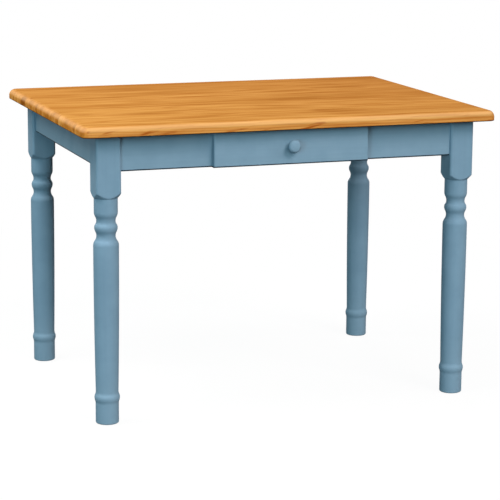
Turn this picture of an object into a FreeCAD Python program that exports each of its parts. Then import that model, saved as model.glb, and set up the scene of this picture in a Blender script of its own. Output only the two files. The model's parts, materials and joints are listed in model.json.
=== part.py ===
import FreeCAD, Part
import math
import os

# Kitchen table with turned legs and one drawer in its front apron.
# Sizes are in millimetres. +Z is up, the drawer opens towards -Y,
# and the origin is the point of the floor under the middle of the top.

# Top: a slab glued up from staves that run along X
table_length = 1100.0
table_width = 812.0
table_height = 762.0
top_thickness = 27.0
top_corner_radius = 22.0
top_round_over = 17.0
top_lower_easing = 2.5
top_overhang = 44.0
stave_count = 10

# Turned leg: a square block above, round work below, cut to these depths into the square blank
leg_block = 64.0
leg_block_easing = 6.5
leg_block_length = 159.0
leg_cone_slope = 1.05
cup_cut = 2.3
cup_length = 35.0
upper_cove_cut = 8.1
upper_cove_drop = 23.0
ring_cut = 2.9
ring_drop = 16.0
lower_cove_cut = 8.1
lower_cove_drop = 21.0
shoulder_drop = 24.5
shaft_foot_cut = 3.4
low_bead_height = 31.0
foot_cut = 2.7
foot_length = 51.0
foot_easing = 3.5

# Glide nailed under each foot
glide_radius = 11.0
glide_thickness = 2.0
glide_easing = 0.6
glide_nail_radius = 1.2
glide_nail_length = 14.0

# Aprons: the long pair is deeper than the end pair
apron_thickness = 20.0
apron_setback = 9.0
apron_easing = 2.0
long_apron_height = 92.0
end_apron_height = 82.0
upper_rail_height = 16.0
lower_rail_height = 16.0

# Drawer: a front laid over a finger-jointed box
drawer_front_width = 413.0
drawer_front_thickness = 18.0
drawer_front_overlap = 20.0
drawer_front_headroom = 2.0
drawer_front_easing = 3.0
drawer_depth = 420.0
drawer_board = 12.0
drawer_panel = 5.0
drawer_panel_lift = 8.0
drawer_travel = 290.0
groove_depth = 6.0
groove_clearance = 0.2
panel_end_gap = 0.5
finger_count = 5

# Running clearances of the drawer
face_gap = 0.3
running_gap = 0.3
side_gap = 1.5
box_headroom = 1.7
stop_gap = 0.3

# Runners under the drawer, guides beside it, kickers above it and the stop
guide_thickness = 20.0
guide_height = 30.0
runner_ledge = 16.0
stop_width = 40.0
stop_thickness = 25.0
stop_catch = 6.0

# Knob
knob_head_radius = 16.7
knob_face_radius = 9.0
knob_neck_radius = 7.5
knob_foot_radius = 10.5
knob_projection = 25.0
knob_rim_back = 9.0
knob_neck_out = 6.0
knob_dome = 1.0
knob_lift = 3.0

# Corner braces and cleats
brace_gap = 6.0
brace_thickness = 22.0
brace_height = 70.0
brace_easing = 1.5
cleat_section = 20.0
cleat_margin = 40.0

# Hanger bolts with their washers and nuts
bolt_radius = 4.0
bolt_grip = 32.0
bolt_tip = 6.0
bolt_tip_radius = 1.2
bolt_spacing = 32.0
bolt_end = 3.0
washer_radius = 9.0
washer_thickness = 1.6
nut_width = 13.0
nut_height = 6.5

# Screws
hole_clearance = 0.2
screw_radius = 2.0
screw_head_radius = 4.0
screw_head_height = 2.4
screw_tip = 5.0
brace_screw_length = 25.0
brace_screw_seat = 9.0
brace_pocket_room = 1.0
top_screw_length = 30.0
top_screw_inset = 40.0
front_screw_length = 22.0
front_screw_inset = 60.0
knob_screw_radius = 2.0
knob_screw_head_radius = 4.5
knob_screw_head_height = 2.5
knob_screw_bite = 12.0

V = FreeCAD.Vector
ORIGIN = V(0, 0, 0)
UP = V(0, 0, 1)
FORWARD = V(0, -1, 0)
DIAGONAL = V(1, 1, 0)

# Planes that several pieces share, as distances from the middle of the table
half_length = table_length / 2
half_width = table_width / 2
blank_radius = leg_block / 2
leg_x = half_length - top_overhang - blank_radius
leg_y = half_width - top_overhang - blank_radius
apron_half_x = leg_x - blank_radius
apron_half_y = leg_y - blank_radius
end_apron_outside = leg_x + blank_radius - apron_setback
end_apron_inside = end_apron_outside - apron_thickness
long_apron_outside = leg_y + blank_radius - apron_setback
long_apron_inside = long_apron_outside - apron_thickness

# Levels that several pieces share
underside = table_height - top_thickness
end_apron_bottom = underside - end_apron_height
long_apron_bottom = underside - long_apron_height
opening_bottom = long_apron_bottom + lower_rail_height
opening_top = underside - upper_rail_height
cleat_bottom = underside - cleat_section
brace_bottom = underside - brace_height
brace_middle = underside - brace_height / 2

# Drawer planes and levels, at rest
half_opening = drawer_front_width / 2 - drawer_front_overlap
box_half_width = half_opening - side_gap
box_half_inside = box_half_width - drawer_board
box_bottom = opening_bottom + running_gap
box_top = opening_top - box_headroom
box_front = -long_apron_outside - face_gap
box_front_inside = box_front + drawer_board
box_back = box_front + drawer_depth
box_back_inside = box_back - drawer_board
panel_bottom = box_bottom + drawer_panel_lift
panel_top = panel_bottom + drawer_panel
drawer_face = box_front - drawer_front_thickness
drawer_front_top = underside - drawer_front_headroom
drawer_middle = (long_apron_bottom + drawer_front_top) / 2
knob_level = drawer_middle + knob_lift

# Corner brace, measured from the leg's own axis: its two diagonal faces and the apron wall it meets
brace_near = blank_radius * math.sqrt(2) + brace_gap
brace_far = brace_near + brace_thickness
brace_wall = apron_setback + apron_thickness - blank_radius
brace_start = brace_near * math.sqrt(2) - brace_wall
brace_reach = brace_far * math.sqrt(2) - brace_wall
cleat_half_y = leg_y - brace_reach - cleat_margin
cleat_half_x = half_opening - runner_ledge - cleat_margin

# Each corner: its name, its side in X and Y, and the turn that brings the front left one there
CORNERS = (
    ("front_left", -1, -1, 0),
    ("front_right", 1, -1, 90),
    ("back_right", 1, 1, 180),
    ("back_left", -1, 1, 270),
)
SIDES = (("left", -1), ("right", 1))

nodes = {}


# Helpers for boards

def board(x_limits, y_limits, z_limits):
    """A straight board between three pairs of limits, given in any order."""
    low = V(min(x_limits), min(y_limits), min(z_limits))
    high = V(max(x_limits), max(y_limits), max(z_limits))
    size = high - low
    return Part.makeBox(size.x, size.y, size.z, low)


def near(value, target):
    """True where a coordinate lies on a plane."""
    return math.isclose(value, target, abs_tol=1e-3)


def eased(shape, radius, wanted):
    """Rounds the edges whose middle point passes the test."""
    edges = [edge for edge in shape.Edges if wanted(edge.CenterOfMass)]
    return shape.makeFillet(radius, edges)


# Helpers for turned work: outlines in the XZ plane, spun around the Z axis

def straight(start, end):
    """A straight edge between two points."""
    return Part.LineSegment(V(start[0], 0, start[1]), V(end[0], 0, end[1])).toShape()


def arc(start, middle, end):
    """An arc through three points."""
    return Part.Arc(V(start[0], 0, start[1]), V(middle[0], 0, middle[1]), V(end[0], 0, end[1])).toShape()


def swing(start, end):
    """An arc that is upright at its start point and bends to its end point."""
    run = end[0] - start[0]
    rise = end[1] - start[1]
    radius = (run ** 2 + rise ** 2) / (2 * abs(run))
    half_turn = math.atan2(abs(run), abs(rise))
    middle_x = start[0] + math.copysign(radius * (1 - math.cos(half_turn)), run)
    middle_z = start[1] + math.copysign(radius * math.sin(half_turn), rise)
    return arc(start, (middle_x, middle_z), end)


def wave(start, end):
    """An S-curve of two arcs, upright at both ends, which meet halfway."""
    meeting = ((start[0] + end[0]) / 2, (start[1] + end[1]) / 2)
    return [swing(start, meeting), swing(end, meeting)]


def crown(edge, top):
    """An arc from an edge point up to the axis, which it meets level."""
    sag = top - edge[1]
    radius = (edge[0] ** 2 + sag ** 2) / (2 * sag)
    circle = Part.Circle(V(0, 0, top - radius), V(0, -1, 0), radius)
    limits = (circle.parameter(V(edge[0], 0, edge[1])), circle.parameter(V(0, 0, top)))
    return Part.ArcOfCircle(circle, min(limits), max(limits)).toShape()


def turned(edges):
    """A closed outline of edges, given in any order, spun once around the Z axis."""
    face = Part.Face(Part.Wire(Part.__sortEdges__(edges)))
    return face.revolve(ORIGIN, UP, 360)


def turned_polygon(points):
    """A closed outline of straight edges, spun once around the Z axis."""
    corners = [V(x, 0, z) for x, z in points]
    return Part.Face(Part.makePolygon(corners + corners[:1])).revolve(ORIGIN, UP, 360)


# Helpers for places

def aimed(shape, start, direction):
    """A copy of a shape made along +Z from the origin, moved to a start point and direction."""
    placed = shape.copy()
    placed.Placement = FreeCAD.Placement(start, FreeCAD.Rotation(UP, direction))
    return placed


def at_corner(shape, side_x, side_y, turn):
    """A copy of a shape made around the front left leg's axis, moved to one of the corners."""
    placed = shape.copy()
    placed.rotate(ORIGIN, UP, turn)
    placed.translate(V(side_x * leg_x, side_y * leg_y, 0))
    return placed


# Screws: a spot is the point of the head's flat top and the direction of the tip

def screw(length, growth=0.0):
    """A countersunk wood screw along +Z. Growth makes the tool that drills its hole."""
    shank = screw_radius + growth
    head = screw_head_radius + growth
    return turned_polygon([
        (0, -growth),
        (head, -growth),
        (head, growth),
        (shank, screw_head_height + growth),
        (shank, length - screw_tip + growth),
        (0, length + growth),
    ])


def screws(spots, length):
    """One screw at each spot."""
    return [aimed(screw(length), start, direction) for start, direction in spots]


def screw_holes(spots, length):
    """The tools that drill for those screws."""
    return [aimed(screw(length, hole_clearance), start, direction) for start, direction in spots]


def top_screw_spots():
    """Heads under the cleats and the kickers, all driven up into the top."""
    spots = []
    for _, side in SIDES:
        end_cleat_x = side * (end_apron_inside - cleat_section / 2)
        back_cleat_x = side * (cleat_half_x - top_screw_inset)
        kicker_x = side * (half_opening + guide_thickness / 2)
        spots.append((V(back_cleat_x, long_apron_inside - cleat_section / 2, cleat_bottom), UP))
        for end in (-1, 1):
            spots.append((V(end_cleat_x, end * (cleat_half_y - top_screw_inset), cleat_bottom), UP))
            spots.append((V(kicker_x, end * (long_apron_inside - top_screw_inset), opening_top), UP))
    return spots


def brace_screw_spots():
    """Heads in the two pockets of a corner brace, driven square into the two aprons."""
    along = (brace_start + brace_reach) / 2
    seat = brace_wall + brace_screw_seat
    return [
        (V(along, seat, brace_middle), V(0, -1, 0)),
        (V(seat, along, brace_middle), V(-1, 0, 0)),
    ]


def front_screw_spots():
    """Heads inside the drawer, driven through the box front into the drawer front."""
    across = box_half_inside - front_screw_inset
    return [(V(side * across, box_front_inside, drawer_middle), FORWARD) for _, side in SIDES]


top_holes = screw_holes(top_screw_spots(), top_screw_length)
corner_screw_holes = screw_holes(brace_screw_spots(), brace_screw_length)
apron_holes = [at_corner(hole, *corner[1:]) for corner in CORNERS for hole in corner_screw_holes]
front_holes = screw_holes(front_screw_spots(), front_screw_length)


# Table top

def make_top():
    """The slab with its round-over, drilled from below and parted into staves."""
    slab = board((-half_length, half_length), (-half_width, half_width), (underside, table_height))
    slab = eased(slab, top_corner_radius, lambda p: near(p.z, (underside + table_height) / 2))
    slab = eased(slab, top_round_over, lambda p: near(p.z, table_height))
    slab = eased(slab, top_lower_easing, lambda p: near(p.z, underside))
    slab = slab.cut(top_holes)
    stave_width = table_width / stave_count
    for index in range(stave_count):
        front_edge = -half_width + index * stave_width
        stave_limits = (front_edge, front_edge + stave_width)
        blank = board((-half_length, half_length), stave_limits, (underside, table_height))
        nodes[f"top_stave_{index + 1:02d}"] = slab.common(blank)


# Legs, glides, corner braces and their bolts

def bolt_levels():
    """The heights of the two hanger bolts of a corner."""
    return (brace_middle - bolt_spacing / 2, brace_middle + bolt_spacing / 2)


def on_bolts(shape, distance):
    """Copies of a shape on both bolt axes of a corner, that far from the leg's axis."""
    step = distance / math.sqrt(2)
    return [aimed(shape, V(step, step, level), DIAGONAL) for level in bolt_levels()]


def leg_turning():
    """The round work, from the foot up to the cone under the block."""
    cone_bottom = underside - leg_block_length
    cup = (blank_radius - cup_cut, cone_bottom - cup_length)
    upper_cove = (blank_radius - upper_cove_cut, cup[1] - upper_cove_drop)
    ring = (blank_radius - ring_cut, upper_cove[1] - ring_drop)
    lower_cove = (blank_radius - lower_cove_cut, ring[1] - lower_cove_drop)
    shoulder = (blank_radius, lower_cove[1] - shoulder_drop)
    foot_radius = blank_radius - foot_cut
    bead_bottom = (foot_radius, glide_thickness + foot_length)
    bead_widest = (blank_radius, bead_bottom[1] + low_bead_height / 2)
    bead_top = (blank_radius - shaft_foot_cut, bead_bottom[1] + low_bead_height)
    foot_corner = (foot_radius, glide_thickness + foot_easing)
    foot_flat = (foot_radius - foot_easing, glide_thickness)
    edges = [
        straight((0, glide_thickness), foot_flat),
        swing(foot_corner, foot_flat),
        straight(foot_corner, bead_bottom),
        swing(shoulder, bead_top),
    ]
    edges += wave(bead_bottom, bead_widest)
    edges += wave(bead_widest, bead_top)
    edges += wave(shoulder, lower_cove)
    edges += wave(lower_cove, ring)
    edges += wave(ring, upper_cove)
    edges += wave(upper_cove, cup)
    edges += [
        straight(cup, (cup[0], cone_bottom)),
        straight((cup[0], cone_bottom), (0, cone_bottom)),
        straight((0, cone_bottom), (0, glide_thickness)),
    ]
    return turned(edges)


def leg_head():
    """The square block, whose lower corners a cone turns away to round."""
    bottom = underside - leg_block_length
    square = (-blank_radius, blank_radius)
    block = board(square, square, (bottom, underside))
    block = eased(block, leg_block_easing, lambda p: near(p.z, (bottom + underside) / 2))
    small = blank_radius - cup_cut
    large = small + leg_block_length / leg_cone_slope
    return block.common(Part.makeCone(small, large, leg_block_length, V(0, 0, bottom)))


def make_corners():
    """A leg, a glide and a brace at each corner, and the fasteners of all four."""
    leg = leg_turning().fuse(leg_head())
    bolt_start = blank_radius * math.sqrt(2) - bolt_grip
    bolt_length = brace_far + washer_thickness + nut_height + bolt_end - bolt_start
    bolt_hole = Part.makeCylinder(bolt_radius + hole_clearance, bolt_length)
    nail_hole = Part.makeCylinder(
        glide_nail_radius + hole_clearance,
        glide_nail_length + hole_clearance,
        V(0, 0, glide_thickness),
    )
    leg = leg.cut(on_bolts(bolt_hole, bolt_start - hole_clearance) + [nail_hole])

    glide = turned_polygon([
        (0, 0),
        (glide_radius - glide_easing, 0),
        (glide_radius, glide_easing),
        (glide_radius, glide_thickness),
        (glide_nail_radius, glide_thickness),
        (glide_nail_radius, glide_thickness + glide_nail_length - glide_nail_radius),
        (0, glide_thickness + glide_nail_length),
    ])

    ends = [
        V(brace_start, brace_wall, brace_bottom),
        V(brace_reach, brace_wall, brace_bottom),
        V(brace_wall, brace_reach, brace_bottom),
        V(brace_wall, brace_start, brace_bottom),
    ]
    brace = Part.Face(Part.makePolygon(ends + ends[:1])).extrude(V(0, 0, brace_height))
    brace = eased(brace, brace_easing, lambda p: near(p.z, brace_bottom) and near(p.x, p.y))
    pocket = Part.makeCylinder(screw_head_radius + brace_pocket_room, brace_reach)
    pockets = [aimed(pocket, start, -direction) for start, direction in brace_screw_spots()]
    brace = brace.cut(on_bolts(bolt_hole, bolt_start) + pockets + corner_screw_holes)

    bolt = turned_polygon([
        (0, 0),
        (bolt_tip_radius, 0),
        (bolt_radius, bolt_tip),
        (bolt_radius, bolt_length),
        (0, bolt_length),
    ])
    bore = Part.makeCylinder(bolt_radius + hole_clearance, nut_height)
    washer = Part.makeCylinder(washer_radius, washer_thickness).cut(bore)
    hexagon = [
        V(nut_width / math.sqrt(3), 0, 0),
        V(nut_width / math.sqrt(12), nut_width / 2, 0),
        V(-nut_width / math.sqrt(12), nut_width / 2, 0),
        V(-nut_width / math.sqrt(3), 0, 0),
        V(-nut_width / math.sqrt(12), -nut_width / 2, 0),
        V(nut_width / math.sqrt(12), -nut_width / 2, 0),
    ]
    nut = Part.Face(Part.makePolygon(hexagon + hexagon[:1])).extrude(V(0, 0, nut_height)).cut(bore)

    fasteners = {
        "hanger_bolts": on_bolts(bolt, bolt_start),
        "hanger_bolt_washers": on_bolts(washer, brace_far),
        "hanger_bolt_nuts": on_bolts(nut, brace_far + washer_thickness),
        "brace_screws": screws(brace_screw_spots(), brace_screw_length),
    }
    for name, *place in CORNERS:
        nodes[f"leg_{name}"] = at_corner(leg, *place)
        nodes[f"glide_{name}"] = at_corner(glide, *place)
        nodes[f"corner_brace_{name}"] = at_corner(brace, *place)
    for name, pieces in fasteners.items():
        placed = [at_corner(piece, *corner[1:]) for corner in CORNERS for piece in pieces]
        nodes[name] = Part.makeCompound(placed)


# Aprons

def make_aprons():
    """The end and back aprons, and the four boards that frame the drawer opening in front."""
    full_x = (-apron_half_x, apron_half_x)
    front_y = (-long_apron_outside, -long_apron_inside)
    back_y = (long_apron_inside, long_apron_outside)
    for name, side in SIDES:
        end_x = (side * end_apron_inside, side * end_apron_outside)
        plank = board(end_x, (-apron_half_y, apron_half_y), (end_apron_bottom, underside))
        plank = eased(plank, apron_easing, lambda p: near(p.z, end_apron_bottom) and near(p.y, 0))
        nodes[f"{name}_end_apron"] = plank.cut(apron_holes)
        cheek_x = (side * half_opening, side * apron_half_x)
        nodes[f"front_apron_{name}"] = board(cheek_x, front_y, (opening_bottom, opening_top)).cut(apron_holes)
    back = board(full_x, back_y, (long_apron_bottom, underside))
    back = eased(back, apron_easing, lambda p: near(p.z, long_apron_bottom) and near(p.x, 0))
    nodes["back_apron"] = back.cut(apron_holes)
    lower = board(full_x, front_y, (long_apron_bottom, opening_bottom))
    lower = eased(lower, apron_easing, lambda p: near(p.z, long_apron_bottom) and near(p.x, 0))
    nodes["front_lower_rail"] = lower
    nodes["front_upper_rail"] = board(full_x, front_y, (opening_top, underside))


# Cleats that hold the top

def make_cleats():
    """Strips along the inside of the end and back aprons, and all the screws into the top."""
    cleat_z = (cleat_bottom, underside)
    for name, side in SIDES:
        cleat_x = (side * end_apron_inside, side * (end_apron_inside - cleat_section))
        nodes[f"{name}_top_cleat"] = board(cleat_x, (-cleat_half_y, cleat_half_y), cleat_z).cut(top_holes)
    back_y = (long_apron_inside, long_apron_inside - cleat_section)
    nodes["back_top_cleat"] = board((-cleat_half_x, cleat_half_x), back_y, cleat_z).cut(top_holes)
    nodes["top_screws"] = Part.makeCompound(screws(top_screw_spots(), top_screw_length))


# What carries and stops the drawer

def make_drawer_bearers():
    """A runner below, a guide beside and a kicker above each drawer side, and the stop block."""
    bearer_y = (-long_apron_inside, long_apron_inside)
    for name, side in SIDES:
        outside = side * (half_opening + guide_thickness)
        ledge = side * (half_opening - runner_ledge)
        guide_z = (opening_bottom, opening_bottom + guide_height)
        nodes[f"{name}_drawer_runner"] = board((outside, ledge), bearer_y, (long_apron_bottom, opening_bottom))
        nodes[f"{name}_drawer_guide"] = board((outside, side * half_opening), bearer_y, guide_z)
        nodes[f"{name}_drawer_kicker"] = board((outside, ledge), bearer_y, (opening_top, underside)).cut(top_holes)
    stop_back = box_back_inside - drawer_travel - stop_gap
    stop_y = (stop_back - stop_thickness, stop_back)
    nodes["drawer_stop"] = board((-stop_width / 2, stop_width / 2), stop_y, (box_top - stop_catch, underside))


# Drawer

def finger_cells(y_limits, z_limits, first):
    """Every second cell of the finger joints at both ends of a cross board."""
    height = (z_limits[1] - z_limits[0]) / finger_count
    cells = []
    for _, side in SIDES:
        for index in range(first, finger_count, 2):
            low = z_limits[0] + index * height
            cells.append(board((side * box_half_inside, side * box_half_width), y_limits, (low, low + height)))
    return cells


def make_drawer_box():
    """Two sides, front and back with finger joints, and a panel held in their grooves."""
    front_y = (box_front, box_front_inside)
    back_y = (box_back_inside, box_back)
    front_z = (box_bottom, box_top)
    back_z = (panel_top, box_top)
    full_x = (-box_half_width, box_half_width)
    groove = board(
        (-box_half_inside - groove_depth, box_half_inside + groove_depth),
        (box_front_inside - groove_depth, box_back),
        (panel_bottom - groove_clearance, panel_top + groove_clearance),
    )
    side_cuts = finger_cells(front_y, front_z, 1) + finger_cells(back_y, back_z, 0)
    for name, side in SIDES:
        side_x = (side * box_half_inside, side * box_half_width)
        plank = board(side_x, (box_front, box_back), front_z)
        nodes[f"drawer_{name}_side"] = plank.cut(side_cuts + [groove])
    front = board(full_x, front_y, front_z)
    knob_bore = aimed(
        Part.makeCylinder(knob_screw_radius + hole_clearance, drawer_board),
        V(0, box_front_inside, knob_level),
        FORWARD,
    )
    nodes["drawer_box_front"] = front.cut(finger_cells(front_y, front_z, 0) + front_holes + [groove, knob_bore])
    back = board(full_x, back_y, back_z)
    nodes["drawer_back"] = back.cut(finger_cells(back_y, back_z, 1))
    panel_reach = box_half_inside + groove_depth - panel_end_gap
    panel_front = box_front_inside - groove_depth + panel_end_gap
    nodes["drawer_bottom"] = board(
        (-panel_reach, panel_reach),
        (panel_front, box_back),
        (panel_bottom, panel_top),
    )


def make_drawer_front():
    """The front laid over the apron, its knob and the screws that hold both."""
    half = drawer_front_width / 2
    front = board((-half, half), (drawer_face, box_front), (long_apron_bottom, drawer_front_top))
    front = eased(front, drawer_front_easing, lambda p: near(p.y, drawer_face))

    rim = (knob_head_radius, knob_projection - knob_rim_back)
    face_edge = (knob_face_radius, knob_projection - knob_dome)
    neck = (knob_neck_radius, knob_neck_out)
    edges = [straight((0, 0), (knob_foot_radius, 0))]
    edges += wave((knob_foot_radius, 0), neck)
    edges += wave(neck, rim)
    edges += [
        swing(rim, face_edge),
        crown(face_edge, knob_projection),
        straight((0, knob_projection), (0, 0)),
    ]
    knob = aimed(turned(edges), V(0, drawer_face, knob_level), FORWARD)

    grip = drawer_board + drawer_front_thickness
    shank_length = grip + knob_screw_bite
    knob_screw = turned_polygon([
        (0, -knob_screw_head_height),
        (knob_screw_head_radius - knob_screw_head_height / 2, -knob_screw_head_height),
        (knob_screw_head_radius, -knob_screw_head_height / 2),
        (knob_screw_head_radius, 0),
        (knob_screw_radius, 0),
        (knob_screw_radius, shank_length),
        (0, shank_length),
    ])
    screw_place = V(0, box_front_inside, knob_level)
    bore = Part.makeCylinder(knob_screw_radius + hole_clearance, shank_length + hole_clearance)
    bore = aimed(bore, screw_place, FORWARD)
    nodes["drawer_front"] = front.cut(front_holes + [bore])
    nodes["drawer_knob"] = knob.cut(bore)
    nodes["knob_screw"] = aimed(knob_screw, screw_place, FORWARD)
    nodes["drawer_front_screws"] = Part.makeCompound(screws(front_screw_spots(), front_screw_length))


make_top()
make_corners()
make_aprons()
make_cleats()
make_drawer_bearers()
make_drawer_box()
make_drawer_front()

os.makedirs("parts", exist_ok=True)
for node_name, shape in nodes.items():
    shape.exportStep(f"parts/{node_name}.step")
print(f"{len(nodes)} pieces written")
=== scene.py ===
# %% [markdown]
# # A kitchen table: honey pine above, slate-blue paint below, one drawer
#
# This lesson dresses a table whose solids are already made. The frame brings in every board, leg and
# screw at its real size and place, in metres, with +Z up and the drawer towards -Y. We keep what has the
# right shape, give it a surface that looks like the real one, and remake the pieces where a finer surface
# shows: the turned legs and the fasteners underneath.
#
# The first code cell loads the frame and keeps its box. Nothing we add may grow past that box.

# %% Load the frame
import json
import math

import bpy
import numpy as np
from mathutils import Matrix, Vector


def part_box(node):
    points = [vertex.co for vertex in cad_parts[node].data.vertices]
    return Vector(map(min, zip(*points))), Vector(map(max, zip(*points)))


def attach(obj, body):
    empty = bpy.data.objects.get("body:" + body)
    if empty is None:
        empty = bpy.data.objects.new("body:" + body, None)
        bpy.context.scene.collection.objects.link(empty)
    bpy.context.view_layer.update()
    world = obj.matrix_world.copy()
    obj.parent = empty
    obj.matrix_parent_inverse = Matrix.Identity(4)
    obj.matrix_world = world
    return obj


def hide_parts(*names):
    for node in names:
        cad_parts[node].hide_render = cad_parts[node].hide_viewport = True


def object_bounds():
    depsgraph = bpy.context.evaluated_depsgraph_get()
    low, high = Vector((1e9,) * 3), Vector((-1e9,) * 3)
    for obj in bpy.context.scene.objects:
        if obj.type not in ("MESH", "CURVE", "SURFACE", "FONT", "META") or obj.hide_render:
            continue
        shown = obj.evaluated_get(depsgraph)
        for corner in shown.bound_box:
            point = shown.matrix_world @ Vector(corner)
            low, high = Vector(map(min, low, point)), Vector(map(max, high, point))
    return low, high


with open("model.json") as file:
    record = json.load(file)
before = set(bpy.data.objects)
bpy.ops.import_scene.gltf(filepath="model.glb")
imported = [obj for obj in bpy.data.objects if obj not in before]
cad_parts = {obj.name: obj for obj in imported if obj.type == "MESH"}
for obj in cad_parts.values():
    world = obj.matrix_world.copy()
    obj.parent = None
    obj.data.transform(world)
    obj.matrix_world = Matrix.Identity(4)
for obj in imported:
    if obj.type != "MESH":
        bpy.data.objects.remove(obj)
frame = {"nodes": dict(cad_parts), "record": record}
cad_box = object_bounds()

scene = bpy.context.scene
print("CAD box in metres:", [[round(value, 4) for value in corner] for corner in cad_box])

# %% [markdown]
# ## The camera
#
# A product photograph like this one is taken from far away with a long lens, so that the table keeps its
# upright lines. We could aim a camera with a constraint, but three plain turns say the same: turn about the
# vertical (yaw), look down a little (pitch), and the last half degree of roll with which the camera was
# held.

# %% Camera at the photograph's place
CAMERA_PLACE = Vector((-1.7782, -5.0673, 1.4548))
CAMERA_YAW = math.radians(-19.548)
CAMERA_PITCH = math.radians(11.620)
CAMERA_ROLL = math.radians(0.403)
SENSOR_WIDTH = 36.0
LENS = 145.60

camera = bpy.data.objects.new("camera", bpy.data.cameras.new("camera"))
camera.data.sensor_width = SENSOR_WIDTH
camera.data.lens = LENS
camera.matrix_world = (
    Matrix.Translation(CAMERA_PLACE)
    @ Matrix.Rotation(CAMERA_YAW, 4, "Z")
    @ Matrix.Rotation(math.pi / 2 - CAMERA_PITCH, 4, "X")
    @ Matrix.Rotation(CAMERA_ROLL, 4, "Z")
)
scene.collection.objects.link(camera)
scene.camera = camera
scene.view_settings.view_transform = "Standard"
print("camera stands", round(CAMERA_PLACE.length, 2), "m from the table with a", LENS, "mm lens")

# %% [markdown]
# ## Helpers for every material
#
# Colours are chosen from a screen, so they are written as sRGB hex values. Blender mixes light in
# linear values, so one function turns the first into the second. A second function adds a node: settings
# are the node's own options, and each input gets either another node's socket or a plain value. Inputs go
# by name, or by their number, counted from 0, where the order is plain, as in a sum. A Mix node has inputs
# called A and B for numbers, for vectors and for colours, so the numbers of those for colours, and of the
# output that belongs to them, are given names. A third function starts an empty material.

# %% Colour and node helpers
MM = 0.001
SLATE_BLUE = "#7D97A9"
A, B, RESULT = 6, 7, 2
COLOURS = {"data_type": "RGBA"}
MULTIPLIED = {"data_type": "RGBA", "blend_type": "MULTIPLY"}
ADDED = {"data_type": "RGBA", "blend_type": "ADD"}


def linear(hex_colour):
    """An sRGB hex colour as linear RGBA: the lowest values are divided, the rest follow a 2.4 power."""
    srgb = np.array([int(hex_colour[start:start + 2], 16) for start in (1, 3, 5)]) / 255
    lit = np.where(srgb <= 0.04045, srgb / 12.92, ((srgb + 0.055) / 1.055) ** 2.4)
    return (*lit.tolist(), 1.0)


def add(tree, kind, inputs=None, stops=(), **settings):
    """Adds one node, sets its options, links or sets its inputs, and fills a colour ramp with stops."""
    made = tree.nodes.new("ShaderNode" + kind)
    for option, value in settings.items():
        setattr(made, option, value)
    for socket, value in (inputs or {}).items():
        if isinstance(value, bpy.types.NodeSocket):
            tree.links.new(value, made.inputs[socket])
        else:
            made.inputs[socket].default_value = value
    if stops:
        ramp = made.color_ramp.elements
        for position, _ in stops[len(ramp):]:
            ramp.new(position)
        for element, (position, hex_colour) in zip(ramp, stops):
            element.position = position
            element.color = linear(hex_colour)
    return made


def new_material(name):
    """An empty node material and its tree."""
    material = bpy.data.materials.new(name)
    material.use_nodes = True
    material.node_tree.nodes.clear()
    return material, material.node_tree


print("slate blue in linear light:", [round(value, 3) for value in linear(SLATE_BLUE)[:3]])

# %% [markdown]
# ## The studio floor
#
# The photograph was taken on a white sweep: large soft lamps, no horizon, next to no shadow. A floor that
# glows would light the table from below, so the floor glows only for the camera and for mirror-like rays
# (Light Path tells them apart), and is dark grey paper for all other rays, so that it throws little light
# back up. Near the table a small share of lit paper is left in what the camera sees, and that share carries
# the table's faint shadow. Further out the floor is plain white. The paper's fibres are drawn as soft spots
# of 25 mm, since real ones are too fine to show.

# %% Floor
FLOOR_SIZE = 120.0
SHADOW_SHARE, SHADOW_NEAR, SHADOW_FAR = 0.05, 0.8, 2.2
FIBRE_SPOT = 25.0
PAPER_STOPS = [(0.0, "#4E4E4D"), (1.0, "#525251")]
LIT_PAPER, WHITE = "#FCFCFB", "#FFFFFF"

half = FLOOR_SIZE / 2
floor_corners = [(-half, -half, 0), (half, -half, 0), (half, half, 0), (-half, half, 0)]
floor_mesh = bpy.data.meshes.new("studio_floor")
floor_mesh.from_pydata(floor_corners, [], [(0, 1, 2, 3)])
floor = bpy.data.objects.new("studio_floor", floor_mesh)
scene.collection.objects.link(floor)


def looked_at(tree):
    """1 for rays that look, from the camera, by a mirror or through glass, and 0 for those that light."""
    ray = add(tree, "LightPath").outputs
    seen = ray["Is Camera Ray"]
    for kind in ("Is Glossy Ray", "Is Transmission Ray"):
        seen = add(tree, "Math", {0: seen, 1: ray[kind]}, operation="MAXIMUM").outputs[0]
    return seen


paper, tree = new_material("white_paper_sweep")
seen = looked_at(tree)
spot = add(tree, "TexCoord").outputs["Object"]
away = add(tree, "VectorMath", {0: spot}, operation="LENGTH").outputs["Value"]
near = {"Value": away, "From Min": SHADOW_NEAR, "From Max": SHADOW_FAR, "To Min": 1 - SHADOW_SHARE}
share = add(tree, "MapRange", near).outputs[0]
share = add(tree, "Math", {0: seen, 1: share}, operation="MULTIPLY").outputs[0]
fibres = add(tree, "TexNoise", {"Vector": spot, "Scale": 1 / (FIBRE_SPOT * MM)}).outputs["Fac"]
grey = add(tree, "ValToRGB", {0: fibres}, stops=PAPER_STOPS).outputs[0]
tint = add(tree, "Mix", {0: seen, A: grey, B: linear(LIT_PAPER)}, **COLOURS).outputs[RESULT]
matt = add(tree, "BsdfDiffuse", {"Color": tint}).outputs[0]
glow = add(tree, "Emission", {"Color": linear(WHITE), "Strength": 1.0}).outputs[0]
both = add(tree, "MixShader", {0: share, 1: matt, 2: glow}).outputs[0]
add(tree, "OutputMaterial", {"Surface": both})
floor.data.materials.append(paper)
print("floor", FLOOR_SIZE, "m wide, with a shadow within", SHADOW_FAR, "m")

# %% [markdown]
# ## The air around the table
#
# The world is told apart in the same way. What is looked at is white, and what lights the table is a weak
# bluish glow, as the walls of a studio give. It only fills the deepest shadows, because an even light from
# all around would make the turnings flat.

# %% World
AMBIENT = 0.07
AMBIENT_TINT = "#E0F6FF"

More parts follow.
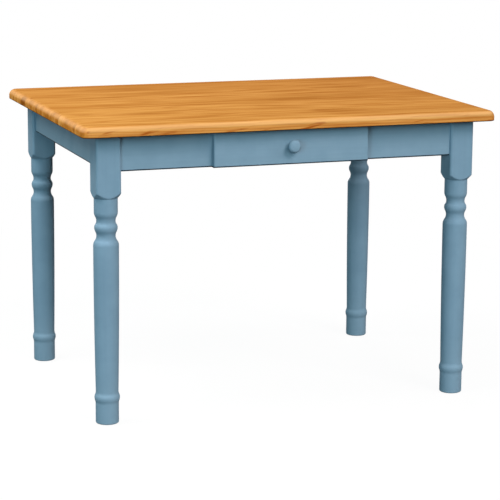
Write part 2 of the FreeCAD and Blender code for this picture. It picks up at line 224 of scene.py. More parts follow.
world = bpy.data.worlds.new("studio_air")
world.use_nodes = True
world.node_tree.nodes.clear()
tree = world.node_tree
seen = looked_at(tree)
soft = add(tree, "Background", {"Color": linear(AMBIENT_TINT), "Strength": AMBIENT}).outputs[0]
white = add(tree, "Background", {"Color": linear(WHITE), "Strength": 1.0}).outputs[0]
both = add(tree, "MixShader", {0: seen, 1: soft, 2: white}).outputs[0]
add(tree, "OutputWorld", {"Surface": both})
scene.world = world
print("ambient light", AMBIENT, "of", AMBIENT_TINT)

# %% [markdown]
# ## The lamps
#
# The table tells where the lamps were. The round-over along the front edge is brighter than both the top
# and the drawer, so the main softbox stands in front and high up, and the knob's shadow falls to its lower
# left, so it stands to the right. Weaker ones fill the shadows from the front, the front left and the
# right, and a low one on the left draws the turned sides of the legs. Two small ones hang near the left end
# and light the top. The feet are about as bright as the blocks, so the large ones stand 14 m away: light
# grows weaker with distance, and from there a foot is hardly further than a block. The shaded sides of the
# paint are bluer than the lit ones, so the fill is as cool as daylight and the main lamp a little warmer.
# The last one stands behind the table, so that its back can be looked at too.

# %% Softboxes
LAMPS = {
    "key_softbox": ((3.9, -9.63, 9.86), 5.2, 1060.0, "#FFF3F1"),
    "front_softbox": ((1.1, -12.9, 5.74), 5.2, 448.0, "#F9FFFF"),
    "front_left_softbox": ((-4.4, -12.2, 5.74), 5.2, 343.0, "#E1FDFF"),
    "low_left_softbox": ((-9.8, -9.8, 1.96), 5.2, 680.0, "#C4F3FF"),
    "high_left_softbox": ((-2.0, -0.54, 4.39), 1.63, 116.0, "#FFF6F5"),
    "back_left_softbox": ((-3.5, 0.94, 3.78), 1.82, 81.0, "#F0FFFB"),
    "right_softbox": ((11.2, -6.5, 5.74), 5.2, 350.0, "#E9FDFF"),
    "back_softbox": ((1.0, 13.6, 3.4), 5.2, 900.0, "#F2FAFF"),
}
TARGET = Vector((0.0, 0.0, 0.5))
for name, (place, side, watts, tint) in LAMPS.items():
    lamp = bpy.data.objects.new(name, bpy.data.lights.new(name, "AREA"))
    lamp.data.size = side
    lamp.data.energy = watts
    lamp.data.color = linear(tint)[:3]
    lamp.location = place
    lamp.rotation_euler = (TARGET - Vector(place)).to_track_quat("-Z", "Y").to_euler()
    scene.collection.objects.link(lamp)
    print(name, "at", place, "gives", watts, "W")

# %% [markdown]
# ## Which way the grain runs
#
# Wood has a direction, and every pattern below is drawn along it. A board is cut with its grain along its
# longest side, so the frame's boxes tell the direction. The pattern is always drawn along its own X, and a
# Mapping node turns the piece's coordinates until the grain lies there. All sizes of patterns are real
# sizes in millimetres.

# %% Grain directions
GRAIN_TURNS = {
    "x": (0.0, 0.0, 0.0),
    "y": (0.0, 0.0, -math.pi / 2),
    "z": (0.0, math.pi / 2, 0.0),
    "rising": (0.0, 0.0, -math.pi / 4),
    "falling": (0.0, 0.0, math.pi / 4),
}


def grain_of(node):
    """The direction of a node's grain: the diagonal for a corner brace, the axis for the knob, and the
    longest side for the rest."""
    low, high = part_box(node)
    middle = (low + high) / 2
    if node.startswith("corner_brace"):
        return "falling" if middle.x * middle.y > 0 else "rising"
    if node == "drawer_knob":
        return "y"
    sides = high - low
    return "xyz"[max(range(3), key=lambda axis: sides[axis])]


def grain_coordinates(tree, grain):
    """The piece's own coordinates in millimetres, turned so that the grain runs along X."""
    place = add(tree, "TexCoord").outputs["Object"]
    turned = add(tree, "Mapping", {"Vector": place, "Rotation": GRAIN_TURNS[grain]}).outputs[0]
    return add(tree, "VectorMath", {0: turned, "Scale": 1 / MM}, operation="SCALE").outputs[0]


def streaks(tree, place, length, width, **look):
    """Noise drawn out along the grain: `length` by `width` are the size in mm of one patch."""
    size = (1 / length, 1 / width, 1 / width)
    drawn = add(tree, "VectorMath", {0: place, 1: size}, operation="MULTIPLY").outputs[0]
    inputs = {"Vector": drawn, "Scale": 1.0, "Detail": 2.0, "Roughness": 0.5}
    inputs.update(look)
    return add(tree, "TexNoise", inputs).outputs["Fac"]


print({node: grain_of(node) for node in ("leg_front_left", "left_end_apron", "corner_brace_back_left")})

# %% [markdown]
# ## Honey pine under lacquer
#
# The top is ten pine staves, planed, glued edge to edge, stained honey and sprayed with satin lacquer. A
# plank picture would slide over the edges, so the figure is a solid one: it fills space, and the faces cut
# through it as a saw does. In a tree the rings are tubes around the pith. Each stave gets its own pith,
# some way below the top, a little to one side and leaning slightly, so the distance from that line tells
# how old the wood is at any point. The point's own Y tells which stave it lies in, and white noise throws
# the dice for that stave.

# %% Staves, and the age of their wood
STAVE_COUNT = 10
EDGE_PLAY = 0.5
PITH_SPREAD, PITH_START = (0.0, 90.0, -75.0), (0.0, -45.0, -35.0)
LEAN_SPREAD, LEAN_START = (0.0, 0.05, 0.04), (0.0, -0.025, -0.02)
SECOND_THROW = 40.5
LOG_SPREAD = 4000.0
WANDER_PATCH, WANDER = (550.0, 110.0), 40.0
WAVER_PATCH, WAVER = (220.0, 12.0), 7.0
front_edge = cad_box[0][1] / MM - EDGE_PLAY
stave_width = (cad_box[1][1] / MM + EDGE_PLAY - front_edge) / STAVE_COUNT
top_level = cad_box[1][2] / MM


def stave_wood(tree, place):
    """A point's stave, that stave's throw of the dice, the point's place in the log, and the age of its
    wood: the distance in millimetres from the stave's pith, plus two lengths that wander with the grain."""
    along, across, _ = add(tree, "SeparateXYZ", {0: place}).outputs
    stave = add(tree, "Math", {0: across, 1: front_edge}, operation="SUBTRACT").outputs[0]
    stave = add(tree, "Math", {0: stave, 1: stave_width}, operation="DIVIDE").outputs[0]
    stave = add(tree, "Math", {0: stave}, operation="FLOOR").outputs[0]
    chance = add(tree, "TexWhiteNoise", {"W": stave}, noise_dimensions="1D").outputs
    again = add(tree, "Math", {0: stave, 1: SECOND_THROW}, operation="ADD").outputs[0]
    again = add(tree, "TexWhiteNoise", {"W": again}, noise_dimensions="1D").outputs["Color"]
    # The pith lies aside of the stave's middle and below it, and leans along the length
    first = front_edge + stave_width / 2
    middle = add(tree, "Math", {0: stave, 1: stave_width, 2: first}, operation="MULTIPLY_ADD").outputs[0]
    pith = add(tree, "CombineXYZ", {"X": along, "Y": middle, "Z": top_level}).outputs[0]
    thrown = {0: chance["Color"], 1: PITH_SPREAD, 2: PITH_START}
    aside = add(tree, "VectorMath", thrown, operation="MULTIPLY_ADD").outputs[0]
    thrown = {0: again, 1: LEAN_SPREAD, 2: LEAN_START}
    lean = add(tree, "VectorMath", thrown, operation="MULTIPLY_ADD").outputs[0]
    lean = add(tree, "VectorMath", {0: lean, "Scale": along}, operation="SCALE").outputs[0]
    for shift in (aside, lean):
        pith = add(tree, "VectorMath", {0: pith, 1: shift}, operation="ADD").outputs[0]
    age = add(tree, "VectorMath", {0: place, 1: pith}, operation="DISTANCE").outputs["Value"]
    # Each stave comes from another part of the log, so no pattern runs on into the next stave
    jump = add(tree, "VectorMath", {0: again, "Scale": LOG_SPREAD}, operation="SCALE").outputs[0]
    log = add(tree, "VectorMath", {0: place, 1: jump}, operation="ADD").outputs[0]
    wander = streaks(tree, log, *WANDER_PATCH, Detail=1.0)
    waver = streaks(tree, log, *WAVER_PATCH)
    for drift, reach in ((wander, WANDER), (waver, WAVER)):
        age = add(tree, "Math", {0: drift, 1: reach, 2: age}, operation="MULTIPLY_ADD").outputs[0]
    return stave, chance["Value"], log, age


print(STAVE_COUNT, "staves of", round(stave_width, 1), "mm")

# %% [markdown]
# ### The figure
#
# Thin latewood lines repeat every few millimetres of age, some strong and some weak, and they are weaker on
# the flat top, where the stain was wiped off. Broad soft bands of stain follow the age too. Flecks of resin
# and fine fibres lie along the stave, and every stave has its own tone. Real fibres are far finer than a
# pixel of the picture, and most rings are closer, so both are drawn as coarse as they need to show.

# %% Rings, bands, fibres and flecks
RING_WIDTH = 7.5
RING_STOPS = [(0.0, "#E0A962"), (0.4, "#DDA55E"), (0.68, "#C98D46"), (0.88, "#AE6E30"), (1.0, "#DDA55E")]
PLAIN_WOOD = "#D59C54"
RING_STRENGTH = {"To Min": 0.05, "To Max": 0.85}
WIPED = {"From Min": 0.9, "From Max": 0.99, "To Min": 1.0, "To Max": 0.6}
BAND_WIDTH, BAND_LENGTH, STAVE_STEP = 13.0, 300.0, 7.3
BAND_STOPS = [(0.28, "#E3D6C4"), (0.5, "#F6F1EA"), (0.72, "#FFFFFF")]
FIBRE_PATCH, FIBRE_STOPS = (130.0, 1.3), [(0.3, "#F0EAE0"), (0.7, "#FFFFFF")]
FLECK_PATCH, FLECK_STOPS = (200.0, 8.0), [(0.3, "#E4D2BA"), (0.52, "#FEFEFE")]
TONE_STOPS = [(0.0, "#EEEBE4"), (1.0, "#F9FCFD")]
RING_RELIEF = 0.5


def stave_figure(tree, place, flat):
    """Colour, relief, bands and place in the log. The fraction of a year picks a ring's colour, the ring's
    strength mixes it with plain wood, and bands, fibres, flecks and the stave's tone multiply it."""
    stave, chance, log, age = stave_wood(tree, place)
    year = add(tree, "Math", {0: age, 1: RING_WIDTH}, operation="DIVIDE").outputs[0]
    season = add(tree, "Math", {0: year}, operation="FRACT").outputs[0]
    wood = add(tree, "ValToRGB", {0: season}, stops=RING_STOPS).outputs[0]
    weather = add(tree, "Math", {0: year}, operation="FLOOR").outputs[0]
    weather = add(tree, "TexWhiteNoise", {"W": weather}, noise_dimensions="1D").outputs["Value"]
    weather = add(tree, "MapRange", {"Value": weather, **RING_STRENGTH}).outputs[0]
    wiped = add(tree, "MapRange", {"Value": flat, **WIPED}).outputs[0]
    weather = add(tree, "Math", {0: weather, 1: wiped}, operation="MULTIPLY").outputs[0]
    wood = add(tree, "Mix", {0: weather, A: linear(PLAIN_WOOD), B: wood}, **COLOURS).outputs[RESULT]
    along = add(tree, "SeparateXYZ", {0: place}).outputs["X"]
    band = add(tree, "CombineXYZ", {"X": age, "Y": along, "Z": stave}).outputs[0]
    size = (1 / BAND_WIDTH, 1 / BAND_LENGTH, STAVE_STEP)
    band = add(tree, "VectorMath", {0: band, 1: size}, operation="MULTIPLY").outputs[0]
    band = add(tree, "TexNoise", {"Vector": band, "Scale": 1.0, "Detail": 2.0}).outputs["Fac"]
    fibre = streaks(tree, log, *FIBRE_PATCH, Detail=1.0)
    fleck = streaks(tree, log, *FLECK_PATCH, Detail=3.0)
    layers = ((band, BAND_STOPS), (fibre, FIBRE_STOPS), (fleck, FLECK_STOPS), (chance, TONE_STOPS))
    for pattern, stops in layers:
        layer = add(tree, "ValToRGB", {0: pattern}, stops=stops).outputs[0]
        wood = add(tree, "Mix", {0: 1.0, A: wood, B: layer}, **MULTIPLIED).outputs[RESULT]
    relief = add(tree, "Math", {0: season, 1: RING_RELIEF, 2: fibre}, operation="MULTIPLY_ADD").outputs[0]
    return wood, relief, band, log


print("rings about", RING_WIDTH, "mm apart, bands about", BAND_WIDTH, "mm wide")

# %% [markdown]
# ### What the work left on the faces
#
# The faces' directions tell the rest, so we read the normal: its part along Z is 1 on a flat face and 0 on
# an upright one, and its part along X is 1 on the sawn ends. The top is painted a little darker towards the
# back right corner: painted shade, where the lamps' light falls off. Upright faces are painted warmer and
# redder: painted warm light, which the cool fill lamps don't give them. They have short slanting marks
# where rings run out, and the cut fibre ends drank most stain, in blotches. The round-over is painted
# paler, a painted highlight in place of the lacquer's shine, and a dark line of painted shade lies along
# the lower arris. The lacquer's shine is left out: in an all-white studio it would only lay a pale veil
# over the colour.

# %% Material for the top
FALLOFF_SPAN, FALLOFF_STOPS = {"From Min": -0.7, "From Max": 0.8}, [(0.0, "#FFFFFF"), (1.0, "#F4E6E1")]
UPPER_FACE = {"From Min": 0.6, "From Max": 0.95}
SIDE_FACE = {"From Min": 0.3, "From Max": 0.05}
SIDE_WARMTH, SIDE_WARM_LIGHT = "#FFFAF2", "#501808"
MARKED_FACE = {"From Min": 0.8, "From Max": 0.4}
MARK_SLANT, MARK_PATCH = math.radians(9), (90.0, 9.0)
MARK_STOPS = [(0.28, "#CC9C66"), (0.42, "#FFFFFF")]
END_FACE = {"From Min": 0.3, "From Max": 0.75}
BLOTCH_SIZE, BLOTCH_STOPS = 60.0, [(0.36, "#8E4E16"), (0.5, "#BC742C"), (0.64, "#D8954C")]
HIGHLIGHT_STOPS = [(0.15, "#000000"), (0.55, "#9C9C9C"), (0.8, "#9C9C9C"), (0.985, "#000000")]
HIGHLIGHT_SPREAD = {"From Min": 0.5, "From Max": 0.9, "To Min": 0.8, "To Max": 1.3}
PAINTED_HIGHLIGHT = "#ECBC8A"
TOP_ARRIS_SHADE_STOPS = [(0.005, "#000000"), (0.03, "#FFFFFF"), (0.36, "#FFFFFF"), (0.47, "#000000")]
TOP_ARRIS_SHADE = "#3A2410"
LACQUER_ROUGHNESS = {"From Min": 0.3, "From Max": 0.7, "To Min": 0.48, "To Max": 0.38}
LACQUER_RELIEF, LACQUER_IOR = 0.1, 1.48
table_length, table_width = (cad_box[1][axis] - cad_box[0][axis] for axis in (0, 1))


def honey_pine():
    """Staves with their figure, painted light and shade, a colour for each kind of face, and a satin coat.
    """
    material, tree = new_material("honey_pine_lacquered")
    place = grain_coordinates(tree, "x")
    normal = add(tree, "NewGeometry").outputs["Normal"]
    upward = add(tree, "SeparateXYZ", {0: normal}).outputs["Z"]
    facing = add(tree, "VectorMath", {0: normal}, operation="ABSOLUTE").outputs[0]
    endwise, _, flat = add(tree, "SeparateXYZ", {0: facing}).outputs
    wood, relief, band, log = stave_figure(tree, place, flat)
    # The painted shade towards the back right, counted in lengths and widths of the table from its middle
    size = (MM / table_length, MM / table_width, 0.0)
    far = add(tree, "VectorMath", {0: place, 1: size}, operation="DOT_PRODUCT").outputs["Value"]
    far = add(tree, "MapRange", {"Value": far, **FALLOFF_SPAN}).outputs[0]
    upper = add(tree, "MapRange", {"Value": flat, **UPPER_FACE}).outputs[0]
    far = add(tree, "Math", {0: far, 1: upper}, operation="MULTIPLY").outputs[0]
    falloff_shade = add(tree, "ValToRGB", {0: far}, stops=FALLOFF_STOPS).outputs[0]
    wood = add(tree, "Mix", {0: 1.0, A: wood, B: falloff_shade}, **MULTIPLIED).outputs[RESULT]
    # The sawn edges, painted warmer and redder as painted light, and their marks
    side = add(tree, "MapRange", {"Value": flat, **SIDE_FACE}).outputs[0]
    wood = add(tree, "Mix", {0: side, A: wood, B: linear(SIDE_WARMTH)}, **MULTIPLIED).outputs[RESULT]
    wood = add(tree, "Mix", {0: side, A: wood, B: linear(SIDE_WARM_LIGHT)}, **ADDED).outputs[RESULT]
    marked = add(tree, "MapRange", {"Value": flat, **MARKED_FACE}).outputs[0]
    slant = add(tree, "Mapping", {"Vector": log, "Rotation": (0.0, MARK_SLANT, 0.0)}).outputs[0]
    mark = streaks(tree, slant, *MARK_PATCH)
    mark = add(tree, "ValToRGB", {0: mark}, stops=MARK_STOPS).outputs[0]
    wood = add(tree, "Mix", {0: marked, A: wood, B: mark}, **MULTIPLIED).outputs[RESULT]
    # The blotched ends
    end = add(tree, "MapRange", {"Value": endwise, **END_FACE}).outputs[0]
    soaked = {"Vector": log, "Scale": 1 / BLOTCH_SIZE, "Detail": 4.0, "Roughness": 0.6}
    blotch = add(tree, "TexNoise", soaked).outputs["Fac"]
    blotch = add(tree, "ValToRGB", {0: blotch}, stops=BLOTCH_STOPS).outputs[0]
    wood = add(tree, "Mix", {0: end, A: wood, B: blotch}, **COLOURS).outputs[RESULT]
    # The round-over, painted paler as a painted highlight
    rim = add(tree, "ValToRGB", {0: flat}, stops=HIGHLIGHT_STOPS).outputs[0]
    highlight = add(tree, "MapRange", {"Value": endwise, **HIGHLIGHT_SPREAD}).outputs[0]
    highlight = add(tree, "Math", {0: highlight, 1: rim}, operation="MULTIPLY").outputs[0]
    wood = add(tree, "Mix", {0: highlight, A: wood, B: linear(PAINTED_HIGHLIGHT)}, **COLOURS).outputs[RESULT]
    # Painted shade along the lower arris, between a face that looks down, at 0, and an upright one, at a
    # half
    below = add(tree, "MapRange", {"Value": upward, "From Min": -1.0}).outputs[0]
    below = add(tree, "ValToRGB", {0: below}, stops=TOP_ARRIS_SHADE_STOPS).outputs[0]
    wood = add(tree, "Mix", {0: below, A: wood, B: linear(TOP_ARRIS_SHADE)}, **COLOURS).outputs[RESULT]
    # The coat, which fibres and latewood lift by hundredths of a millimetre
    lift = {"Height": relief, "Strength": 0.12, "Distance": LACQUER_RELIEF * MM}
    bump = add(tree, "Bump", lift).outputs[0]
    rough = add(tree, "MapRange", {"Value": band, **LACQUER_ROUGHNESS}).outputs[0]
    coat = {"Base Color": wood, "Roughness": rough, "IOR": LACQUER_IOR, "Specular IOR Level": 0.0}
    surface = add(tree, "BsdfPrincipled", {**coat, "Normal": bump}).outputs[0]
    add(tree, "OutputMaterial", {"Surface": surface})
    return material


print("top", round(table_length / MM), "by", round(table_width / MM), "mm, stained", PLAIN_WOOD)

# %% [markdown]
# ## Slate-blue paint
#
# Legs, aprons, drawer front and knob are sprayed with satin paint over primed wood. One flat colour would
# look like plastic. Paint hides the colour of the wood, not its surface: long shallow ridges of grain still
# catch the light. They are drawn coarser than they are, so that they show. The coat is a little cloudy,
# because it was rubbed down by hand between coats. The legs are painted a shade deeper than the boards, as
# painted shade, and paler near the floor, as painted light. A dark line of painted shade lies along the
# lower arris of the boards. Its shine is kept nearly as low as the lacquer's.

# %% Material for the painted wood
CLOUD_SIZE, CLOUD_STOPS = 55.0, (0.33, 0.5, 0.67)
BOARD_COAT = ("#7A94A6", SLATE_BLUE, "#8099AB")
SHADED_LEG_COAT = ("#7691A4", "#7994A7", "#7C97AA")
RIDGE_PATCH, RIDGE_RELIEF = (90.0, 1.6), 0.15
STROKE_PATCH, STROKE_SHARE, STROKE_TONE = (220.0, 7.0), 0.6, {"To Min": 0.9, "To Max": 1.05}
FOOT_LIGHT_TOP, FOOT_LIGHT_FULL = 170.0, 68.0
LOWEST_BOARD = {"x": "front_lower_rail", "y": "left_end_apron"}
PAINT_ARRIS_SHADE, PAINT_ARRIS_HEIGHT = "#26323B", 4.0
PAINT_ARRIS_STOPS = [(0.0, "#000000"), (0.02, "#FFFFFF"), (0.7, "#FFFFFF"), (1.0, "#000000")]
PAINT_ROUGHNESS = {"From Min": 0.3, "From Max": 0.7, "To Min": 0.5, "To Max": 0.4}
PAINT_IOR = 1.48


def slate_blue_paint(grain):
    """Cloudy satin paint with the grain of the wood showing through as relief. Legs, whose grain stands
    upright, are painted paler near the floor as painted light, and boards have a dark line of painted
    shade along their lower arris."""
    material, tree = new_material("slate_blue_satin_paint_" + grain)
    place = grain_coordinates(tree, grain)
    clouds = add(tree, "TexNoise", {"Vector": place, "Scale": 1 / CLOUD_SIZE, "Detail": 4.0}).outputs["Fac"]
    # The legs' coat is a shade deeper than the boards': painted shade
    coat = SHADED_LEG_COAT if grain == "z" else BOARD_COAT
    paint = add(tree, "ValToRGB", {0: clouds}, stops=list(zip(CLOUD_STOPS, coat))).outputs[0]
    strokes = streaks(tree, place, *STROKE_PATCH)
    strokes = add(tree, "MapRange", {"Value": strokes, **STROKE_TONE}).outputs[0]
    paint = add(tree, "Mix", {0: STROKE_SHARE, A: paint, B: strokes}, **MULTIPLIED).outputs[RESULT]
    height = add(tree, "SeparateXYZ", {0: add(tree, "TexCoord").outputs["Object"]}).outputs["Z"]
    # Painted light: the legs are painted paler near the floor
    if grain == "z":
        near = {"Value": height, "From Min": FOOT_LIGHT_TOP * MM, "From Max": FOOT_LIGHT_FULL * MM}
        foot_light = add(tree, "MapRange", near).outputs[0]
        paint = add(tree, "Mix", {0: foot_light, A: paint, B: linear(SLATE_BLUE)}, **COLOURS).outputs[RESULT]
    # Painted shade: a dark line along the lower arris of the boards
    if grain in LOWEST_BOARD:
        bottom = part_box(LOWEST_BOARD[grain])[0].z
        near = {"Value": height, "From Min": bottom, "From Max": bottom + PAINT_ARRIS_HEIGHT * MM}
        arris_shade = add(tree, "MapRange", near).outputs[0]
        arris_shade = add(tree, "ValToRGB", {0: arris_shade}, stops=PAINT_ARRIS_STOPS).outputs[0]
        paint = add(tree, "Mix", {0: arris_shade, A: paint, B: linear(PAINT_ARRIS_SHADE)}, **COLOURS).outputs[RESULT]
    ridges = {"Height": streaks(tree, place, *RIDGE_PATCH), "Strength": 0.1, "Distance": RIDGE_RELIEF * MM}
    bump = add(tree, "Bump", ridges).outputs[0]
    rough = add(tree, "MapRange", {"Value": clouds, **PAINT_ROUGHNESS}).outputs[0]
    satin = {"Base Color": paint, "Roughness": rough, "IOR": PAINT_IOR, "Specular IOR Level": 0.01}
    surface = add(tree, "BsdfPrincipled", {**satin, "Normal": bump}).outputs[0]
    add(tree, "OutputMaterial", {"Surface": surface})
    return material


print("paint on boards", BOARD_COAT, "and on legs", SHADED_LEG_COAT)

# %% [markdown]
# ## Bare pine and plywood
#
# Underneath nothing is painted. Braces, cleats, runners and the drawer box are planed pine, and the
# drawer's bottom is birch plywood. These are seldom seen, so their rings needn't be cut through a solid
# tree: slow noise along the grain, counted in rings, is enough. Its fibres are drawn up to a millimetre
# wide, since real ones are too fine to show.

# %% Materials for the bare wood
PINE_PATCH, PINE_RINGS, PINE_WAVER_PATCH, PINE_FIBRE_PATCH = (700.0, 45.0), 18.0, (120.0, 6.0), (40.0, 0.8)
PINE_STOPS = [(0.0, "#E3C79B"), (0.6, "#DBBB8B"), (0.9, "#C69C66"), (1.0, "#E0C294")]
BIRCH_PATCH, BIRCH_RINGS, BIRCH_FIBRE_PATCH = (420.0, 90.0), 7.0, (25.0, 0.6)
BIRCH_STOPS = [(0.0, "#E6D2AE"), (0.7, "#E1C9A2"), (0.95, "#D6B98E"), (1.0, "#E4CFAA")]
BARE_GLOSS = 0.3


def bare_pine(grain):
    """Planed pine without any finish: pale, with tan latewood lines a few millimetres apart, and matt."""
    material, tree = new_material("bare_planed_pine_" + grain)
    place = grain_coordinates(tree, grain)
    slow = streaks(tree, place, *PINE_PATCH, Detail=1.0)
    waver = streaks(tree, place, *PINE_WAVER_PATCH)
    rings = add(tree, "Math", {0: slow, 1: PINE_RINGS, 2: waver}, operation="MULTIPLY_ADD").outputs[0]
    rings = add(tree, "Math", {0: rings}, operation="FRACT").outputs[0]
    wood = add(tree, "ValToRGB", {0: rings}, stops=PINE_STOPS).outputs[0]
    fibres = streaks(tree, place, *PINE_FIBRE_PATCH, Detail=1.0)
    bump = add(tree, "Bump", {"Height": fibres, "Strength": 0.25, "Distance": 0.15 * MM}).outputs[0]
    rough = add(tree, "MapRange", {"Value": rings, "To Min": 0.72, "To Max": 0.6}).outputs[0]
    planed = {"Base Color": wood, "Roughness": rough, "Specular IOR Level": BARE_GLOSS, "Normal": bump}
    surface = add(tree, "BsdfPrincipled", planed).outputs[0]
    add(tree, "OutputMaterial", {"Surface": surface})
    return material


def birch_plywood():
    """Rotary-cut birch: wide, faint, pinkish figure across the drawer, sanded smooth."""
    material, tree = new_material("birch_plywood_sanded")
    place = grain_coordinates(tree, "x")
    slow = streaks(tree, place, *BIRCH_PATCH)
    figure = add(tree, "Math", {0: slow, 1: BIRCH_RINGS}, operation="MULTIPLY").outputs[0]
    figure = add(tree, "Math", {0: figure}, operation="FRACT").outputs[0]
    wood = add(tree, "ValToRGB", {0: figure}, stops=BIRCH_STOPS).outputs[0]
    fibres = streaks(tree, place, *BIRCH_FIBRE_PATCH, Detail=1.0)
    bump = add(tree, "Bump", {"Height": fibres, "Strength": 0.2, "Distance": 0.1 * MM}).outputs[0]
    rough = add(tree, "MapRange", {"Value": fibres, "To Min": 0.66, "To Max": 0.55}).outputs[0]
    sanded = {"Base Color": wood, "Roughness": rough, "Specular IOR Level": BARE_GLOSS, "Normal": bump}
    surface = add(tree, "BsdfPrincipled", sanded).outputs[0]
    add(tree, "OutputMaterial", {"Surface": surface})
    return material


print("pine from", PINE_STOPS[0][1], "to", PINE_STOPS[2][1], "and birch from", BIRCH_STOPS[0][1])

# %% [markdown]
# ## Zinc and nylon
#
# The fasteners are zinc-plated steel and the glides under the feet are moulded nylon. Both are nearly plain
# to the eye. What gives them away is how they shine, so clouds of a few millimetres change the roughness
# more than the colour, and a mould's grit, drawn coarser than it is, lies on the nylon.

# %% Materials for fasteners and glides
ZINC_CLOUD, ZINC_STOPS = 3.0, [(0.3, "#B4B9BE"), (0.7, "#CDD0D2")]
FLOW_CLOUD, NYLON_STOPS = 8.0, [(0.3, "#DAD7CC"), (0.7, "#E6E3D9")]
NYLON_GRIT, NYLON_IOR = 0.6, 1.53


def zinc_steel():
    """Electroplated zinc: a grey metal, clouded by the bath, with a slight bluish cast."""
    material, tree = new_material("zinc_plated_steel")
    place = grain_coordinates(tree, "x")
    clouds = add(tree, "TexNoise", {"Vector": place, "Scale": 1 / ZINC_CLOUD, "Detail": 3.0}).outputs["Fac"]
    metal = add(tree, "ValToRGB", {0: clouds}, stops=ZINC_STOPS).outputs[0]
    rough = add(tree, "MapRange", {"Value": clouds, "To Min": 0.42, "To Max": 0.26}).outputs[0]
    bump = add(tree, "Bump", {"Height": clouds, "Strength": 0.1, "Distance": 0.05 * MM}).outputs[0]
    plated = {"Base Color": metal, "Metallic": 1.0, "Roughness": rough, "Normal": bump}
    surface = add(tree, "BsdfPrincipled", plated).outputs[0]
    add(tree, "OutputMaterial", {"Surface": surface})
    return material


def moulded_nylon():
    """Natural nylon: milky white with faint flow clouds and the grain of the mould."""
    material, tree = new_material("moulded_nylon")
    place = grain_coordinates(tree, "x")
    clouds = add(tree, "TexNoise", {"Vector": place, "Scale": 1 / FLOW_CLOUD, "Detail": 2.0}).outputs["Fac"]
    milk = add(tree, "ValToRGB", {0: clouds}, stops=NYLON_STOPS).outputs[0]
    grit = add(tree, "TexNoise", {"Vector": place, "Scale": 1 / NYLON_GRIT, "Detail": 1.0}).outputs["Fac"]
    bump = add(tree, "Bump", {"Height": grit, "Strength": 0.15, "Distance": 0.05 * MM}).outputs[0]
    rough = add(tree, "MapRange", {"Value": clouds, "To Min": 0.52, "To Max": 0.42}).outputs[0]
    moulded = {"Base Color": milk, "Roughness": rough, "IOR": NYLON_IOR, "Normal": bump}
    surface = add(tree, "BsdfPrincipled", moulded).outputs[0]
    add(tree, "OutputMaterial", {"Surface": surface})
    return material


print("zinc clouds of", ZINC_CLOUD, "mm and nylon clouds of", FLOW_CLOUD, "mm")

# %% [markdown]
# ## Dressing the frame
#
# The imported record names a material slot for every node, so nothing has to be assigned by hand. Each slot
# has one maker above, and slots of wood with a direction get one material for each.

# %% Assign materials
MAKERS = {
    "honey_wood_top": (honey_pine, False),
    "slate_blue_painted_wood": (slate_blue_paint, True),
    "unfinished_wood": (bare_pine, True),
    "drawer_plywood": (birch_plywood, False),
    "zinc_steel": (zinc_steel, False),
    "glide_plastic": (moulded_nylon, False),
}
slot_of = {part["node"]: part["material_slot"] for part in frame["record"]["subparts"]}
made_materials = {}


def material_for(node):
    """The finished material of a node's slot, made once for each grain direction it needs."""
    maker, has_grain = MAKERS[slot_of[node]]
    grain = (grain_of(node),) if has_grain else ()
    key = (slot_of[node], *grain)
    if key not in made_materials:
        made_materials[key] = maker(*grain)
    return made_materials[key]


for node, thing in frame["nodes"].items():
    thing.data.materials.clear()
    thing.data.materials.append(material_for(node))
print(len(made_materials), "materials on", len(frame["nodes"]), "nodes")

# %% [markdown]
# ## From a grid of points to a mesh
#
# The pieces that we remake are surfaces of two parameters: how far along the piece, and how far around it.
# A Screw modifier or bmesh operators could spin a profile too, but they can't cut a square into the round
# or wind a thread. Numpy can: it works out all the points of such a grid at once, in millimetres, and the
# helpers below join them in quads and hand them to Blender as one object.

# %% Grid helpers
bodies = frame["record"]["behaviour"]["bodies"]
body_of = {node: body for body, members in bodies.items() for node in members}


def around(columns):
    """Evenly spread angles of one turn."""
    return np.linspace(0, 2 * math.pi, columns, endpoint=False)


def turned(radius, height, angle):
    """Points around Z: the radius times the angle's cosine, the radius times its sine, and the height."""
    return np.stack(np.broadcast_arrays(radius * np.cos(angle), radius * np.sin(angle), height), axis=-1)


def skin(grid, ring=False):
    """Points, quads and triangles of rows of points around an axis. Quads join each row to the next. A
    ring joins its last row to its first, and any other skin closes both ends with a fan around the row's
    mean."""
    rows, columns = grid.shape[:2]
    number = np.arange(rows * columns).reshape(rows, columns)
    beside = np.roll(number, -1, axis=1)
    upper, upper_beside = np.roll(number, -1, axis=0), np.roll(beside, -1, axis=0)
    quads = np.stack([number, beside, upper_beside, upper], axis=-1)
    if ring:
        return grid.reshape(-1, 3), quads.reshape(-1, 4), np.empty((0, 3), int)
    hubs = np.full((2, columns), rows * columns) + [[0], [1]]
    fans = np.stack([[beside[0], number[-1]], [number[0], beside[-1]], hubs], axis=-1)
    points = np.vstack([grid.reshape(-1, 3), grid[0].mean(axis=0), grid[-1].mean(axis=0)])
    return points, quads[:rows - 1].reshape(-1, 4), fans.reshape(-1, 3)


def add_piece(node, skins, crease):
    """One object made of skins in millimetres. It takes a node's place, body, slot and material, and edges
    that turn by more than the crease angle in degrees stay sharp."""
    starts = np.cumsum([0] + [len(points) for points, _, _ in skins])
    points = np.vstack([points for points, _, _ in skins]) * MM
    faces = [(part + start).tolist() for start, (_, *parts) in zip(starts, skins) for part in parts]
    mesh = bpy.data.meshes.new(node + "_made")
    mesh.from_pydata(points.tolist(), [], [face for part in faces for face in part])
    mesh.shade_smooth()
    mesh.set_sharp_from_angle(angle=math.radians(crease))
    mesh.materials.append(material_for(node))
    piece = bpy.data.objects.new(node + "_made", mesh)
    scene.collection.objects.link(piece)
    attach(piece, body_of[node])
    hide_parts(node)


# %% [markdown]
# ## The turned legs
#
# A leg starts as a square blank. On the lathe the lower part is turned to coves, a ring, a long shaft that
# swells a little and a soft bead, while the top stays square. Where the tool runs out it leaves a cone. A
# curve object could draw this profile, but a turner thinks in cuts below the blank and drops along it, so
# the profile is strung from arcs between such points, as radius and height.

